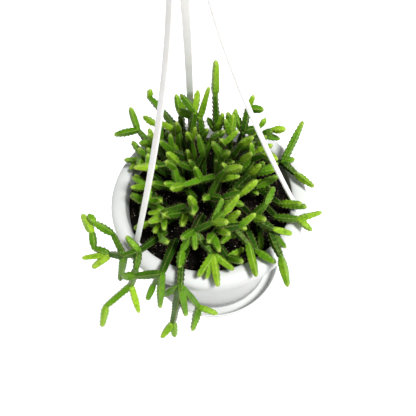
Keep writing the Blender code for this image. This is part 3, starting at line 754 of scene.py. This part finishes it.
def outline_shoots(draw):
    """The shoots read from the view."""
    grown = []
    for name, ((across, down), rows) in SHOOTS.items():
        root = seen_at(across, down, SOIL_LEVEL)
        joints = [root_segment(name, root.x, root.y)]
        grown.append(joints[0])
        for parent_at, across_at, down_at, height in rows:
            parent = joints[parent_at]
            joints.append(None)
            if parent is None:
                continue
            tip = seen_at(across_at, down_at, height * MM)
            order = parent.order + 1
            segment = Segment(name, parent.tip.copy(), tip, radius_of(order, draw), parent, order)
            if bent_clear(segment, grown):
                grown.append(segment)
                joints[-1] = segment
    return grown


def in_clump(point):
    """Whether a point lies in the dome and shows inside the clump, away from its patches of bare soil."""
    if (point - Vector((0, 0, SOIL_LEVEL))).length > DOME_RADIUS:
        return False
    across, down = seen_where(point)
    middle_across, middle_down, half_across, half_down = FILL_OUTLINE
    if ((across - middle_across) / half_across) ** 2 + ((down - middle_down) / half_down) ** 2 > 1:
        return False
    return all(math.hypot(across - a, down - d) > wide for a, d, wide in BARE_SOIL)


def room_at(point, grown):
    """How far a point is from the nearest tip that has grown."""
    return min((point - other.tip).length for other in grown)


def sprout(stem, length, spread, lean_to, draw, grown, tries=16):
    """A new segment from a stem's tip: of the clear ways it could take, the one into the most open space."""
    heading = (stem.tip - stem.start).normalized()
    order = stem.order + 1
    best, most = None, 0
    for _ in range(tries):
        wild = Vector([draw.uniform(-1, 1) for _ in range(3)])
        aim = (heading + wild * spread + lean_to).normalized()
        tip = stem.tip + aim * length * draw.uniform(0.8, 1.15)
        if not in_clump(tip):
            continue
        made = Segment(stem.shoot, stem.tip.copy(), tip, radius_of(order, draw), stem, order)
        if is_clear(made, grown) and room_at(tip, grown) > most:
            best, most = made, room_at(tip, grown)
    if best:
        grown.append(best)
    return best


def outward(point, lean):
    angle = math.atan2(point.y, point.x)
    return around(angle, math.sin(lean), math.cos(lean))


def lean_at(point):
    return MAX_LEAN * min(1, math.hypot(point.x, point.y) / LEAN_REACH)


def branch(tips, stages, aim, draw, grown):
    """Grows each tip on through the stages, given as (length, spread, most new segments at a tip)."""
    for length, spread, most in stages:
        new = []
        for tip in tips:
            for _ in range(draw.randint(1, most)):
                new.append(sprout(tip, length, spread, aim * 0.35, draw, grown))
        tips = [tip for tip in new if tip]


def fill_shoots(grown, draw):
    """Shoots on a spiral of roots, leaning out from the middle, that branch wherever there is room."""
    roots = [s.tip for s in grown if s.parent is None]
    turn = math.pi * (3 - math.sqrt(5))
    made = 0
    for i in range(FILL_ROOTS):
        out = FILL_SPACING * math.sqrt(i + 0.5)
        x = FILL_CENTRE[0] + out * math.cos(i * turn)
        y = FILL_CENTRE[1] + out * math.sin(i * turn)
        if made == FILL_MOST or any(math.hypot(x - r.x, y - r.y) < ROOT_SPACING for r in roots):
            continue
        root = root_segment(f"fill_{i:02d}", x, y)
        if any(closest(root.start, root.tip, s.start, s.tip) < root.radius + s.radius + GAP for s in grown):
            continue
        aim = outward(root.tip, lean_at(root.tip))
        grown.append(root)
        stem = sprout(root, FIRST_LENGTH, FIRST_SPREAD, aim * 1.5, draw, grown, FIRST_TRIES)
        if stem is None:
            grown.remove(root)
            continue
        made += 1
        roots.append(root.tip)
        branch([stem], FILL_STAGES, aim, draw, grown)
    for tip in [s for s in grown if s.parent and s.order <= 2 and not s.shoot.startswith("fill")]:
        if in_clump(tip.tip):
            branch([tip], SIDE_STAGES, outward(tip.tip, lean_at(tip.tip)), draw, grown)


def late_segments(grown, draw):
    """Short new growth from joints that still have room, wherever the clump is most open."""
    joints = [s for s in grown if s.parent and s.order <= 3 and in_clump(s.tip)]
    for _ in range(LATE_ROUNDS):
        draw.shuffle(joints)
        for joint in joints:
            if len(grown) >= MOST_SEGMENTS:
                return
            if sum(s.parent is joint for s in grown) < 3:
                sprout(joint, LATE_LENGTH, 1.1, outward(joint.tip, lean_at(joint.tip)) * 0.4, draw, grown, 10)


def grow_clump():
    draw = random.Random(SEED)
    grown = outline_shoots(draw)
    fill_shoots(grown, draw)
    late_segments(grown, draw)
    return grown

# Flesh: old joints are deep green, young ones bright and their tips lime. Each rib has a painted highlight, a
# paler green along its crest, with a brown fleck at each areole. The faces between the crests have a painted
# sheen, a lighter green, and the skin is waxy.
DEEP_GREEN, LEAF_GREEN, FRESH_GREEN = (0.008, 0.038, 0.002), (0.070, 0.205, 0.004), (0.260, 0.430, 0.020)
# The crest colour in this row is a painted highlight along each rib's crest
TIP_LIME, CREST_HIGHLIGHT, PATCH_GREEN = (0.36, 0.46, 0.090), (0.34, 0.48, 0.070), (0.016, 0.070, 0.004)
# Painted sheen: the lighter greens that are laid down the faces between the crests
OLD_FACE_SHEEN, YOUNG_FACE_SHEEN = (0.045, 0.15, 0.010), (0.24, 0.44, 0.02)
FLECK_BROWN, CORK = (0.10, 0.045, 0.018), (0.19, 0.14, 0.06)

flesh, tree, shader, place = finish("stem_flesh", {
    "Specular IOR Level": 0.34, "Specular Tint": (0.8, 1.0, 0.3), "Subsurface Weight": 0.05,
    "Subsurface Scale": 0.003})
age, crest, tooth, end = (add_node(tree, "ShaderNodeAttribute", {"attribute_name": name}, {})["Fac"]
                          for name in ("youth", "crest", "tooth", "end"))
broad, patch, fine = noise(place, 0.018), noise(place, 0.0045), noise(place, 0.0012)
young = age + (broad - 0.5) * 0.8 - 0.04
greens = (0.0, DEEP_GREEN), (0.5, LEAF_GREEN), (1.0, FRESH_GREEN)
green = add_node(tree, "ShaderNodeValToRGB", {"stops": greens}, {"Fac": young})["Color"]
green = blend(end.between(0.80, 1.0) * 0.6, green, TIP_LIME)
# Painted sheen: the faces between the crests are lightened towards a paler green, in place of light on the
# wax
green = blend(((1 - crest) ** 2) * 0.30, green, blend(young, OLD_FACE_SHEEN, YOUNG_FACE_SHEEN))
# Painted highlight: a paler green along each crest
green = blend((crest ** 6) * 0.26, green, CREST_HIGHLIGHT)
green = blend(patch.between(0.48, 0.66) * (1 - crest * 0.6) * 0.5, green, PATCH_GREEN)
green = blend(fine.between(0.6, 0.78) * 0.2, green, CORK)
green = blend(tooth.between(0.88, 1.0) * crest.between(0.93, 1.0) * 0.4, green, FLECK_BROWN)
feed(shader, Base_Color=green, Roughness=0.17 + fine * 0.24, Normal=bump(fine * 0.6 + patch, 0.0010, 0.7))

# Areoles: a dull brown cushion of wool at each notch of a rib, with a hair or two
wool, tree, shader, place = finish("areole_wool", {"Specular IOR Level": 0.2})
speck = noise(place, 0.002)
feed(shader, Base_Color=blend(speck, (0.12, 0.055, 0.02), (0.50, 0.42, 0.24)), Roughness=0.7 + speck * 0.2)

# Each segment has this many rings from tooth to tooth and points around it. Its crests stand a little
# fuller than the solids' flat faces do.
TOOTH_STEP, TOOTH_HEIGHT, RIB_DEPTH = 4.2 * MM, 0.75 * MM, 0.31
RINGS_PER_TOOTH, AROUND, FULLNESS = 5, 26, 1.08
AREOLE_SIZE, HAIR_LENGTH, HAIR_RADIUS = 0.26 * MM, 1.5 * MM, 0.03 * MM
JOINT_SINK, BURIED, LEAST_WIDE = 1.6 * MM, -0.6, 0.12 * MM


def girth(share, length, radius, tip_free):
    """A segment's radius at a share of its length: a narrow start, a full middle and a tapered end."""
    start = 0.60 + 0.40 * math.sin(min(1.0, share * length / (6 * MM)) * math.pi / 2)
    taper = 1 - (0.44 if tip_free else 0.26) * max(0.0, (share - 0.4) / 0.6) ** 1.5
    to_end = (1 - share) * length
    blunt, least = (3.6 * MM, 0.0) if tip_free else (1.8 * MM, 0.78)
    close = least + (1 - least) * math.sqrt(max(0.0, 1 - (1 - min(1.0, to_end / blunt)) ** 2))
    swell = 1 + 0.05 * math.sin(share * length / (3.7 * MM) + length / (0.9 * MM))
    return FULLNESS * radius * start * taper * close * swell


def ring_places(length, tip_free):
    """Where along a segment its rings are, as shares, closer together at a free tip."""
    count = max(6, int(round(length / TOOTH_STEP * RINGS_PER_TOOTH)))
    shares = [i / count for i in range(count + 1)]
    return shares[:-1] + [1 - 0.5 / count, 1 - 0.12 / count, 1.0] if tip_free else shares


def guide_mesh(name, segments):
    """A shoot as one line of points for each segment, with what the tree needs to know at each point."""
    points, edges, data = [], [], {"wide": [], "run": [], "youth": [], "ribs": [], "spin": [], "end": []}
    parents = {id(s.parent) for s in segments if s.parent}
    tone = random.Random(name)
    for number, segment in enumerate(segments):
        along = segment.tip - segment.start
        length = along.length
        free = id(segment) not in parents
        sink = along.normalized() * (JOINT_SINK if segment.parent else 0)
        first, shade = len(points), tone.uniform(-0.26, 0.26)
        for share in ring_places(length, free):
            at = segment.start + along * share if share else segment.start - sink
            points.append(tuple(at - Vector((0, 0, HANG))))
            youth = (segment.order - 1) * 0.12 + (0.36 if free else -0.04) + 0.16 * share + shade - 0.03
            data["wide"].append(max(LEAST_WIDE, girth(share, length, segment.radius, free)))
            data["run"].append(share * length / TOOTH_STEP)
            data["youth"].append(youth if segment.parent else BURIED)
            data["ribs"].append(5.0 if segment.order <= 2 else 4.0)
            data["end"].append(share if free else 0.0)
            data["spin"].append((number * 0.37) % 1)
        edges += [(i, i + 1) for i in range(first, len(points) - 1)]
    mesh = bpy.data.meshes.new(name)
    mesh.from_pydata(points, edges, [])
    for key, values in data.items():
        mesh.attributes.new(key, "FLOAT", "POINT").data.foreach_set("value", values)
    return mesh


def keep(geometry, name, value, kind="FLOAT"):
    """Stores a value on the geometry under a name."""
    return shape_step("GeometryNodeStoreNamedAttribute", geometry, {"data_type": kind}, Name=name,
                      Value=value)


def vectors(operation, first, second=None, scale=None):
    """A Vector Math node on wires."""
    ports = {key: value for key, value in ((0, first), (1, second), ("Scale", scale)) if value is not None}
    return add_node(first.tree, "ShaderNodeVectorMath", {"operation": operation}, ports)[0]


def ribbed_skin(tree, given):
    """Sweeps an outline along each line, and draws its ribs in and its teeth out."""
    line = shape_step("GeometryNodeMeshToCurve", given["Geometry"])
    spot = add_node(tree, "GeometryNodeInputPosition", {}, {})[0]
    line = keep(line, "middle", spot, "FLOAT_VECTOR")
    ring = add_node(tree, "GeometryNodeCurvePrimitiveCircle", {"mode": "RADIUS"},
                    {"Resolution": given["Around"], "Radius": 1.0})["Curve"]
    ring = keep(ring, "around", add_node(tree, "GeometryNodeInputIndex", {}, {})[0] / given["Around"])
    skin = shape_step("GeometryNodeCurveToMesh", line, Profile_Curve=ring, Fill_Caps=True,
                      Scale=named(tree, "wide"))
    skin = shape_step("GeometryNodeMergeByDistance", skin, Distance=0.001 * MM)

    turn = named(tree, "around") * named(tree, "ribs") + named(tree, "spin")
    wave = (turn * math.tau).maths("COSINE") * 0.5 + 0.5
    notch = (named(tree, "run") + (turn.maths("FLOOR") * 0.5).maths("FRACT")).maths("FRACT")
    tooth = notch.between(0.0, 0.7) * (1 - notch.between(0.78, 1.0))
    skin = keep(keep(skin, "crest", wave), "tooth", tooth)
    full = (named(tree, "wide") / (3 * MM)).between(0.15, 0.75)
    reach = 1 - given["Rib depth"] * (1 - wave ** 1.9)
    reach = reach - (given["Tooth height"] / (3.2 * MM)) * full * (1 - tooth) * (wave ** 3)
    middle = named(tree, "middle", "FLOAT_VECTOR")
    away = vectors("SUBTRACT", spot, middle)
    skin = keep(skin, "outward", vectors("NORMALIZE", away), "FLOAT_VECTOR")
    moved = vectors("ADD", vectors("SCALE", away, scale=reach), middle)
    skin = shape_step("GeometryNodeSetPosition", skin, Position=moved)
    skin = shape_step("GeometryNodeSetShadeSmooth", skin, Shade_Smooth=True)
    return shape_step("GeometryNodeSetMaterial", skin, Material=flesh)


def areoles(tree, given, skin):
    """A cushion and a stray hair on each tooth's tip that stands out of the soil."""
    pick = named(tree, "crest").maths("GREATER_THAN", 0.93) * named(tree, "tooth").maths("GREATER_THAN", 0.86)
    pick = pick * named(tree, "wide").maths("GREATER_THAN", 1.6 * MM)
    pick = pick * named(tree, "youth").maths("GREATER_THAN", BURIED + 0.1)
    spots = shape_step("GeometryNodeMeshToPoints", skin, {"mode": "VERTICES"}, Selection=pick)
    bead = add_node(tree, "GeometryNodeMeshIcoSphere", {}, {"Radius": given["Areole size"],
                                                            "Subdivisions": 1})["Mesh"]
    hair = add_node(tree, "GeometryNodeMeshCone", {}, {"Vertices": 3, "Radius Top": 0.0,
                                                       "Radius Bottom": HAIR_RADIUS,
                                                       "Depth": given["Hair length"]})["Mesh"]
    outward_way = named(tree, "outward", "FLOAT_VECTOR")
    stray = vectors("ADD", outward_way, dice(tree, (-0.5, -0.5, -0.5), (0.5, 0.5, 0.5), 4))
    tufts = []
    for shape, way, scale in ((bead, outward_way, (1.0, 1.0, 0.7)), (hair, stray, (1.0, 1.0, 1.0))):
        facing = add_node(tree, "FunctionNodeAlignRotationToVector", {"axis": "Z"}, {"Vector": way})[0]
        tufts.append(shape_step("GeometryNodeInstanceOnPoints", spots, Instance=shape, Rotation=facing,
                                Scale=scale))
    joined = add_node(tree, "GeometryNodeJoinGeometry", {}, {"Geometry": tufts})["Geometry"]
    joined = shape_step("GeometryNodeRealizeInstances", joined)
    return shape_step("GeometryNodeSetMaterial", joined, Material=wool)


def stem_tree():
    """The whole shoot: its ribbed skin and its areoles."""
    sizes = (("Rib depth", RIB_DEPTH), ("Tooth height", TOOTH_HEIGHT), ("Areole size", AREOLE_SIZE),
             ("Hair length", HAIR_LENGTH), ("Around", AROUND))
    tree, given = growing_tree("ribbed_stem", sizes)
    skin = ribbed_skin(tree, given)
    return close_tree(tree, [skin, areoles(tree, given, skin)])


shoots = {}
for segment in grow_clump():
    shoots.setdefault(segment.shoot, []).append(segment)
ribbed = stem_tree()
for shoot, segments in shoots.items():
    stem = grown_piece(f"shoot_{shoot}", guide_mesh(shoot, segments), ribbed)
    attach(stem, "root")
    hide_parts(f"stem_{shoot}")
    fresh = sum(s.order >= 3 for s in segments) * 2 > len(segments)

# The studio. A pale paper floor lies well below the hanging pot, under a broad soft lamp and a bright
# surround. The camera looks down on the pot from the front, as the photograph does.
FLOOR_DEPTH, FLOOR_REACH = 1.6, 14
SURROUND_STRENGTH, LAMP_STRENGTH, LAMP_SPREAD = 0.36, 4.7, math.radians(14)
LAMP_WAY = (-0.40, 0.30, -1.0)


def floor_sheet(build):
    bmesh.ops.create_grid(build, x_segments=8, y_segments=8, size=FLOOR_REACH)
    bmesh.ops.translate(build, verts=build.verts, vec=(0, 0, -FLOOR_DEPTH))


paper, tree, shader, place = finish("floor_paper", {"Roughness": 0.9, "Specular IOR Level": 0.1})
feed(shader, Base_Color=blend(noise(place, 0.8), (0.955, 0.955, 0.955), (0.975, 0.975, 0.975)))
floor = show("studio_floor", drawn("studio_floor", floor_sheet))
floor.data.materials.append(paper)

scene = bpy.context.scene
scene.view_settings.view_transform = "Standard"
world = bpy.data.worlds.new("studio_surround")
world.use_nodes = True
surround = world.node_tree.nodes["Background"].inputs
surround["Color"].default_value, surround["Strength"].default_value = (1.0, 1.0, 1.0, 1), SURROUND_STRENGTH
scene.world = world
lamp = bpy.data.lights.new("soft_lamp", "SUN")
lamp.energy, lamp.angle = LAMP_STRENGTH, LAMP_SPREAD
show("soft_lamp", lamp).rotation_euler = Vector(LAMP_WAY).to_track_quat("-Z", "Y").to_euler()

right, up, back, eye = view_axes()
lens = bpy.data.cameras.new("camera")
lens.sensor_width, lens.lens = 36, 36 * VIEW_FOCAL / VIEW_SIDE
lens.clip_start, lens.clip_end = 0.01, 50
camera = show("camera", lens)
camera.matrix_world = (Matrix.Translation(eye - Vector((0, 0, HANG)))
                       @ Matrix((right, up, back)).transposed().to_4x4())
scene.camera = camera
